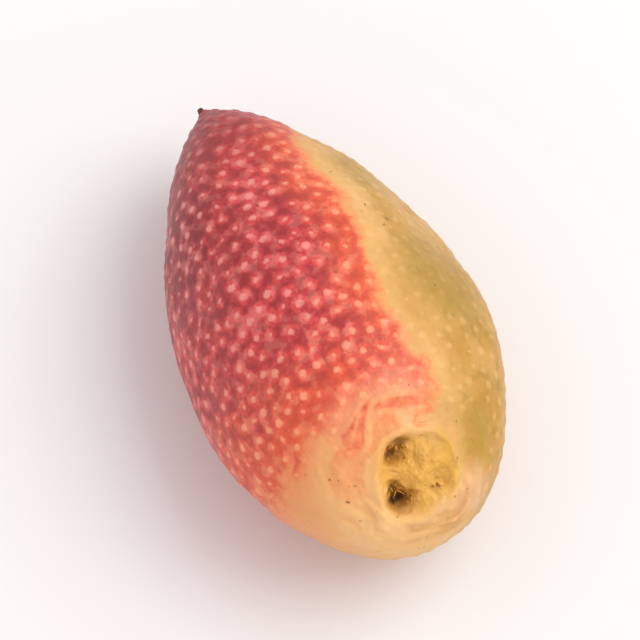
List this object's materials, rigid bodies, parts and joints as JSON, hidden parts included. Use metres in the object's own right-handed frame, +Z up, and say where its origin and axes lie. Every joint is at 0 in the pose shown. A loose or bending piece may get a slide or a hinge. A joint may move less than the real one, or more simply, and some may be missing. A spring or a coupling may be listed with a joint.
{
  "type": "pistachio in hull",
  "caption": "Whole pistachio fruit in its blushed hull, an egg-shaped drupe with a small beak at its tip and a sunk stalk scar, lying on its side.",
  "frame": {"origin": "on the surface the fruit lies on, under the middle of its bounding box", "axes": "+X along the fruit, from its beaked tip towards its stalk end; +Y towards its yellow flank; +Z up"},
  "size_m": [0.0286, 0.0164, 0.0145],
  "materials": {
    "hull_skin": "satin fruit skin, crimson with pale flecks on one flank and yellow on the other"
  },
  "bodies": {
    "root": {"hull": "hull_skin"}
  },
  "joints": []
}
